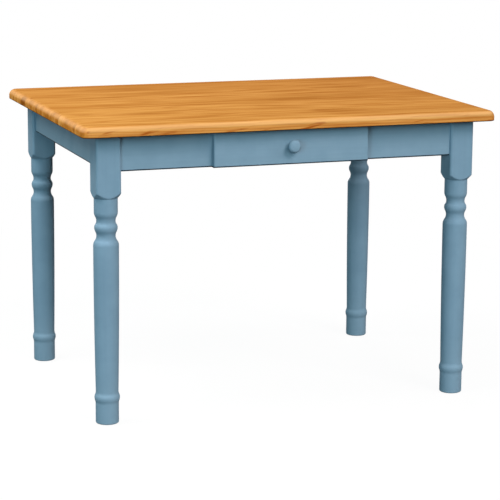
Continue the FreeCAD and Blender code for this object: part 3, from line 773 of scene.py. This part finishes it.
# %% Leg profile
BLOCK_LENGTH, CONE_SLOPE = 159.0, 1.05
CUP_CUT, CUP_LENGTH = 2.3, 35.0
UPPER_COVE_CUT, UPPER_COVE_DROP = 8.1, 23.0
RING_CUT, RING_DROP = 2.9, 16.0
LOWER_COVE_CUT, LOWER_COVE_DROP = 8.1, 21.0
SHOULDER_DROP = 24.5
SHAFT_FOOT_CUT, BEAD_HEIGHT = 3.4, 31.0
FOOT_CUT, FOOT_LENGTH, FOOT_EASING = 2.7, 51.0, 3.5
CURVE_ROWS, SHAFT_ROWS, CONE_ROWS, BLOCK_ROWS = 10, 16, 40, 5
SAME_POINT = 1e-6

leg_low, leg_high = (np.array(corner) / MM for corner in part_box("leg_front_left"))
blank = (leg_high[0] - leg_low[0]) / 2
cone_bottom = leg_high[2] - BLOCK_LENGTH


def swing(start, end, count):
    """An arc that is upright at its start: its centre lies level with the start, and its angle grows evenly
    from nothing to twice the angle between the upright and the straight line to the end."""
    run, rise = end[0] - start[0], end[1] - start[1]
    radius = (run ** 2 + rise ** 2) / (2 * abs(run))
    angle = np.linspace(0, 2 * math.atan2(abs(run), abs(rise)), count)
    across = start[0] + math.copysign(radius, run) * (1 - np.cos(angle))
    return np.stack([across, start[1] + math.copysign(radius, rise) * np.sin(angle)], axis=1)


def wave(start, end):
    """An S-curve of two such arcs, upright at both ends, which meet halfway."""
    meeting = ((start[0] + end[0]) / 2, (start[1] + end[1]) / 2)
    return np.vstack([swing(start, meeting, CURVE_ROWS), swing(end, meeting, CURVE_ROWS)[::-1]])


def leg_profile():
    """Radius and height of the turned work, from the rim of the foot's flat up to the block's top."""
    cup = (blank - CUP_CUT, cone_bottom - CUP_LENGTH)
    upper_cove = (blank - UPPER_COVE_CUT, cup[1] - UPPER_COVE_DROP)
    ring = (blank - RING_CUT, upper_cove[1] - RING_DROP)
    lower_cove = (blank - LOWER_COVE_CUT, ring[1] - LOWER_COVE_DROP)
    shoulder = (blank, lower_cove[1] - SHOULDER_DROP)
    foot = blank - FOOT_CUT
    bead = (foot, leg_low[2] + FOOT_LENGTH)
    widest = (blank, bead[1] + BEAD_HEIGHT / 2)
    bead_top = (blank - SHAFT_FOOT_CUT, bead[1] + BEAD_HEIGHT)
    cone_top = cone_bottom + CONE_SLOPE * (blank * math.sqrt(2) - cup[0])
    cone = np.linspace(cone_bottom, cone_top, CONE_ROWS)
    cone = np.concatenate([cone, np.linspace(cone_top, leg_high[2], BLOCK_ROWS)])
    rows = np.vstack([
        swing((foot, leg_low[2] + FOOT_EASING), (foot - FOOT_EASING, leg_low[2]), CURVE_ROWS)[::-1],
        wave(bead, widest),
        wave(widest, bead_top),
        swing(shoulder, bead_top, SHAFT_ROWS)[::-1],
        wave(shoulder, lower_cove),
        wave(lower_cove, ring),
        wave(ring, upper_cove),
        wave(upper_cove, cup),
        np.stack([cup[0] + (cone - cone_bottom) / CONE_SLOPE, cone], axis=1),
    ])
    moved = np.abs(np.diff(rows, axis=0)).sum(axis=1) > SAME_POINT
    return rows[np.concatenate([[True], moved])]


leg_rows = leg_profile()
thinnest = 2 * leg_rows[:, 0].min()
print("a blank of", round(2 * blank, 1), "mm, turned down to", round(thinnest, 1), "mm")

# %% [markdown]
# ### The square in the round
#
# The lathe's cone cuts each flat face of the block in an arch. So the leg's radius at an angle and a height
# is the smaller of two: the radius the tool reached, and the radius of the rounded square at that angle.
# Sanding takes the sharpness off the arch between them, so a soft minimum is used. The columns of the grid
# crowd at the block's four eased edges.

# %% Legs
BLOCK_EASING, SANDED = 6.5, 0.7
FACE_COLUMNS, EDGE_COLUMNS = 16, 10
CORNERS = {"front_left": 0, "front_right": 90, "back_right": 180, "back_left": 270}


def rounded_square(angle):
    """Distance from the axis to a square with rounded corners: to the flat face, half the side over the
    cosine of the angle from the face; past the corner's tangent point, to the corner's circle along the
    same ray."""
    turn = np.abs((angle + math.pi / 4) % (math.pi / 2) - math.pi / 4)
    reach = blank - BLOCK_EASING
    middle = reach * (np.cos(turn) + np.sin(turn))
    inside = np.maximum(BLOCK_EASING ** 2 - (reach * (np.cos(turn) - np.sin(turn))) ** 2, 0)
    return np.where(blank * np.tan(turn) <= reach, blank / np.cos(turn), middle + np.sqrt(inside))


def soft_least(first, second, softness):
    """The lesser of two lengths, with the corner between them rounded: minus the softness times the
    logarithm of the sum of both lengths' falling exponentials."""
    return -softness * np.logaddexp(-first / softness, -second / softness)


tangent = math.atan2(blank - BLOCK_EASING, blank)
stations = (0, tangent, math.pi / 2 - tangent, math.pi / 2)
counts = (FACE_COLUMNS, EDGE_COLUMNS, FACE_COLUMNS)
runs = zip(stations[:-1], stations[1:], counts)
quarter = np.concatenate([np.linspace(*run, endpoint=False) for run in runs])
angle = (quarter + np.arange(4)[:, None] * math.pi / 2).ravel()
radius, height = leg_rows.T[:, :, None]
square = soft_least(radius, rounded_square(angle), SANDED)
leg_grid = turned(np.where(height >= cone_bottom, square, radius), height, angle)

axes = {}
for corner in CORNERS:
    low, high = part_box("leg_" + corner)
    axes[corner] = np.array([(low.x + high.x) / 2, (low.y + high.y) / 2, 0]) / MM
    add_piece("leg_" + corner, [skin(leg_grid + axes[corner])], crease=18)
print("each leg has", leg_grid.shape[0], "rows of", leg_grid.shape[1], "points")

# %% [markdown]
# ## Hanger bolts, washers and nuts
#
# Behind every leg two hanger bolts reach through the corner brace. One half of such a bolt is a wood screw
# in the leg, the other half has a machine thread for the nut. A thread is a helix, and the radius says it
# in one line: the groove's depth depends on how far the height, counted in turns of thread, is from the
# angle, counted in turns. We make each piece once, along +Z, and turn copies into their places.

# %% Threads and places
BOLT_SPACING = 32.0
ROWS_PER_TURN = 6


def spun(profile, columns, pitch, groove):
    """A profile of radius, height and a mark spun around Z. Where the mark is 1 the radius drops by a
    helical groove: its depth times twice the distance of height over pitch minus angle over a turn from a
    whole number."""
    angle = around(columns)
    radius, height, mark = np.array(profile, float).T[:, :, None]
    phase = height / pitch - angle / (2 * math.pi)
    return turned(radius - mark * groove * 2 * np.abs(phase - np.round(phase)), height, angle)


def aimed(grid, start, direction):
    """Points made along +Z, turned until +Z lies along the direction, and moved to the start."""
    turn = np.array(Vector((0, 0, 1)).rotation_difference(Vector(direction)).to_matrix())
    return grid @ turn.T + np.array(start)


def at_corners(grids):
    """Grids made beside the front left leg's axis, turned and moved to all four corners."""
    placed = []
    for corner, degrees in CORNERS.items():
        turn = np.array(Matrix.Rotation(math.radians(degrees), 3, "Z"))
        placed += [grid @ turn.T + axes[corner] for grid in grids]
    return placed


def on_bolts(grid, distance):
    """A grid on both bolt axes of a corner, that far from the leg's axis along the diagonal."""
    low, high = (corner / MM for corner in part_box("corner_brace_front_left"))
    middle, step = (low.z + high.z) / 2, distance / math.sqrt(2)
    levels = (middle - BOLT_SPACING / 2, middle + BOLT_SPACING / 2)
    return [aimed(grid, (step, step, level), (1, 1, 0)) for level in levels]


print("two bolts", BOLT_SPACING, "mm apart at each of", len(CORNERS), "corners")

# %% [markdown]
# ### The three pieces of a bolt
#
# The bolt has a point, a plain shank and the machine thread. The washer was punched, which leaves a small
# burr below and a rolled edge above. A nut is a hexagon whose corners a cone has turned away, again the
# lesser of two radii. Bolts are closed at both ends, while washers and nuts are rings around a bore.

# %% Bolts, washers and nuts
BOLT_RADIUS, BOLT_PITCH, BOLT_GROOVE, BOLT_COLUMNS = 4.0, 1.25, 0.7, 24
BOLT_GRIP, BOLT_TIP, BOLT_POINT, BOLT_END = 32.0, 6.0, 1.2, 3.0
BRACE_GAP, BRACE_THICKNESS = 6.0, 22.0
WASHER_RADIUS, WASHER_THICKNESS, WASHER_COLUMNS = 9.0, 1.6, 48
WASHER_BURR, WASHER_ROLL = 0.1, ((0.0, 0.4), (0.15, 0.12), (0.5, 0.0))
BORE_RADIUS, WASHER_BORE_EASING, NUT_BORE_EASING = 4.2, 0.2, 0.6
NUT_WIDTH, NUT_HEIGHT, NUT_COLUMNS = 13.0, 6.5, 72
NUT_CHAMFER, NUT_CHAMFER_ROWS, NUT_FACE = 0.8, 6, 0.94

leg_edge = blank * math.sqrt(2)
brace_far = leg_edge + BRACE_GAP + BRACE_THICKNESS
bolt_start = leg_edge - BOLT_GRIP
bolt_length = brace_far + WASHER_THICKNESS + NUT_HEIGHT + BOLT_END - bolt_start
thread = np.arange(BOLT_GRIP - BOLT_PITCH, bolt_length - BOLT_PITCH / 2, BOLT_PITCH / ROWS_PER_TURN)
bolt_rows = [(BOLT_POINT, 0, 0), (BOLT_RADIUS, BOLT_TIP, 0), (BOLT_RADIUS, thread[0] - BOLT_PITCH, 0)]
bolt_rows += [(BOLT_RADIUS, height, 1) for height in thread]
bolt_rows += [(BOLT_RADIUS - BOLT_GROOVE, bolt_length, 0)]
bolt = spun(bolt_rows, BOLT_COLUMNS, BOLT_PITCH, BOLT_GROOVE)

washer_rows = np.array([
    (BORE_RADIUS, 0),
    (WASHER_RADIUS - WASHER_BURR, 0),
    (WASHER_RADIUS, WASHER_BURR),
    *[(WASHER_RADIUS - inward, WASHER_THICKNESS - down) for inward, down in WASHER_ROLL],
    (BORE_RADIUS + WASHER_BORE_EASING, WASHER_THICKNESS),
    (BORE_RADIUS, WASHER_THICKNESS - WASHER_BORE_EASING),
])
washer = turned(*washer_rows.T[:, :, None], around(WASHER_COLUMNS))

angle = around(NUT_COLUMNS)
hexagon = NUT_WIDTH / 2 / np.cos((angle + math.pi / 6) % (math.pi / 3) - math.pi / 6)
rise = np.linspace(0, NUT_CHAMFER, NUT_CHAMFER_ROWS)
cone = NUT_FACE * NUT_WIDTH / 2 + rise * math.sqrt(3)
nut_rows = np.concatenate([
    [(BORE_RADIUS, NUT_BORE_EASING), (BORE_RADIUS + NUT_BORE_EASING, 0)],
    np.stack([cone, rise], axis=1),
    np.stack([cone, NUT_HEIGHT - rise], axis=1)[::-1],
    [(BORE_RADIUS + NUT_BORE_EASING, NUT_HEIGHT), (BORE_RADIUS, NUT_HEIGHT - NUT_BORE_EASING)],
])
radius, height = nut_rows.T[:, :, None]
nut = turned(np.minimum(radius, hexagon), height, angle)

bolts = at_corners(on_bolts(bolt, bolt_start))
washers = at_corners(on_bolts(washer, brace_far))
nuts = at_corners(on_bolts(nut, brace_far + WASHER_THICKNESS))
add_piece("hanger_bolts", [skin(grid) for grid in bolts], crease=50)
add_piece("hanger_bolt_washers", [skin(grid, ring=True) for grid in washers], crease=40)
add_piece("hanger_bolt_nuts", [skin(grid, ring=True) for grid in nuts], crease=25)
print(len(bolts), "hanger bolts,", round(bolt_length, 1), "mm long")
print(round(len(thread) / ROWS_PER_TURN), "turns of thread on each")

# %% [markdown]
# ## Wood screws and the knob's screw
#
# Only the heads of these screws are ever seen: in the pockets of the braces, under the cleats and kickers,
# and inside the drawer. A head is a disc with a cross pressed into it. The grid starts at the head's
# middle, and each point near it is pushed down by two ramps: one falls off across the nearest arm of the
# cross, the other along it. Then the profile goes on over the rim, down the countersink, along the thread
# and to the tip. A second mesh could cut the cross out too, but would leave ragged faces.

# %% Screw shapes
SCREW_RADIUS, SCREW_PITCH, SCREW_GROOVE, SCREW_COLUMNS = 2.0, 1.7, 0.6, 32
SCREW_TIP, SCREW_POINT = 5.0, 0.12
HEAD_RADIUS, HEAD_HEIGHT, HEAD_FLAT, HEAD_ROWS = 4.0, 2.4, 2.8, 13
HEAD_RIM = ((0.1, 0.0), (0.0, 0.15), (0.05, 0.35))
HEAD_MIDDLE, HEAD_FACE = 0.1, 0.6
KNOB_HEAD_RADIUS, KNOB_HEAD_HEIGHT, KNOB_HEAD_ROWS = 4.5, 2.5, 18
KNOB_DOME, KNOB_RIM, KNOB_PITCH = 0.6, 0.1, 0.7
CROSS_ARM, CROSS_HALF_WIDTH, CROSS_DEPTH, CROSS_WALL = 2.5, 0.6, 1.5, 0.25


def cross_recess(x, y):
    """How deep the cross is pressed in at a point: a ramp across the nearer arm times one along it."""
    narrow, wide = np.minimum(np.abs(x), np.abs(y)), np.maximum(np.abs(x), np.abs(y))
    wall = np.clip((CROSS_HALF_WIDTH - narrow) / CROSS_WALL + 0.5, 0, 1)
    return CROSS_DEPTH * wall * np.clip((CROSS_ARM - wide) / CROSS_ARM * 2, 0, 1)


def screw_grid(face, shank_start, length, pitch, tip):
    """A screw along +Z with its head at the origin. `face` holds radius and height of the head's rows.
    After them the shank runs to its length, and narrows to a point over the tip."""
    heights = np.arange(shank_start, length, pitch / ROWS_PER_TURN)
    narrowing = np.clip((length - heights) / tip, SCREW_POINT, 1) if tip else np.ones(len(heights))
    shank = np.stack([SCREW_RADIUS * narrowing, heights, narrowing], axis=1)
    # The first row meets the head without a groove
    shank[0, 2] = 0
    profile = np.vstack([np.column_stack([face, np.zeros(len(face))]), shank])
    grid = spun(profile, SCREW_COLUMNS, pitch, SCREW_GROOVE)
    near = grid[..., 2] < shank_start * HEAD_FACE
    grid[..., 2] += np.where(near, cross_recess(grid[..., 0], grid[..., 1]), 0)
    return grid


def wood_screw(length):
    """A countersunk screw whose flat head lies in the plane of the wood."""
    flat = [(radius, 0) for radius in np.linspace(HEAD_MIDDLE, HEAD_FLAT, HEAD_ROWS)]
    rim = [(HEAD_RADIUS - inward, down) for inward, down in HEAD_RIM]
    return screw_grid(flat + rim, HEAD_HEIGHT, length, SCREW_PITCH, SCREW_TIP)


def pan_screw(length):
    """A machine screw whose domed head stands on the wood: a quarter of an ellipse, and an upright rim."""
    across = np.linspace(HEAD_MIDDLE, KNOB_HEAD_RADIUS, KNOB_HEAD_ROWS)
    fall = 1 - np.sqrt(np.clip(1 - (across / KNOB_HEAD_RADIUS) ** 2, 0, 1))
    face = np.stack([across, KNOB_HEAD_HEIGHT * KNOB_DOME * fall], axis=1).tolist()
    face += [(KNOB_HEAD_RADIUS, KNOB_HEAD_HEIGHT - KNOB_RIM)]
    return screw_grid(face, KNOB_HEAD_HEIGHT, length, KNOB_PITCH, 0)


print("a head of", 2 * HEAD_RADIUS, "mm with a cross", CROSS_DEPTH, "mm deep")

# %% [markdown]
# ### Where the screws sit
#
# The frame's boxes tell where a screw can go: in the pockets near the ends of each brace, up through the
# cleats and kickers into the top, and through the front of the drawer box into the drawer front. The
# knob's screw takes the place and length of its own box.

# %% Screws
BRACE_SCREW_LENGTH, BRACE_SCREW_SEAT = 25.0, 9.0
TOP_SCREW_LENGTH, TOP_SCREW_INSET, KICKER_SCREW_INSET = 30.0, 40.0, 10.0
FRONT_SCREW_LENGTH, FRONT_SCREW_INSET = 22.0, 60.0


def box_mm(node):
    """A node's lowest and highest corner in millimetres."""
    return [np.array(corner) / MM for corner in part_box(node)]


wall = box_mm("left_end_apron")[1][0] - axes["front_left"][0]
ends = np.array([brace_far - BRACE_THICKNESS, brace_far]) * math.sqrt(2) - wall
level = np.mean([corner[2] for corner in box_mm("corner_brace_front_left")])
brace_spots = [
    ((ends.mean(), wall + BRACE_SCREW_SEAT, level), (0, -1, 0)),
    ((wall + BRACE_SCREW_SEAT, ends.mean(), level), (-1, 0, 0)),
]

top_spots = []
for side, sign in (("left", -1), ("right", 1)):
    low, high = box_mm(side + "_top_cleat")
    middle = (low[0] + high[0]) / 2
    top_spots += [(middle, y, low[2]) for y in (low[1] + TOP_SCREW_INSET, high[1] - TOP_SCREW_INSET)]
    low, high = box_mm(side + "_drawer_kicker")
    outer = max(low[0] * sign, high[0] * sign) * sign - sign * KICKER_SCREW_INSET
    top_spots += [(outer, y, low[2]) for y in (low[1] + TOP_SCREW_INSET, high[1] - TOP_SCREW_INSET)]
low, high = box_mm("back_top_cleat")
middle = (low[1] + high[1]) / 2
top_spots += [(x, middle, low[2]) for x in (low[0] + TOP_SCREW_INSET, high[0] - TOP_SCREW_INSET)]

inside = box_mm("drawer_box_front")[1][1]
across = box_mm("drawer_right_side")[0][0] - FRONT_SCREW_INSET
level = np.mean([corner[2] for corner in box_mm("drawer_front")])
front_spots = [(side * across, inside, level) for side in (-1, 1)]

brace_screws = at_corners([aimed(wood_screw(BRACE_SCREW_LENGTH), *spot) for spot in brace_spots])
top_screws = [aimed(wood_screw(TOP_SCREW_LENGTH), spot, (0, 0, 1)) for spot in top_spots]
front_screws = [aimed(wood_screw(FRONT_SCREW_LENGTH), spot, (0, -1, 0)) for spot in front_spots]
low, high = box_mm("knob_screw")
knob_spot = ((low[0] + high[0]) / 2, high[1], (low[2] + high[2]) / 2)
knob_screw = aimed(pan_screw(high[1] - low[1]), knob_spot, (0, -1, 0))
add_piece("brace_screws", [skin(grid) for grid in brace_screws], crease=40)
add_piece("top_screws", [skin(grid) for grid in top_screws], crease=40)
add_piece("drawer_front_screws", [skin(grid) for grid in front_screws], crease=40)
add_piece("knob_screw", [skin(knob_screw)], crease=40)
print(len(brace_screws) + len(top_screws) + len(front_screws), "wood screws and the knob's screw")
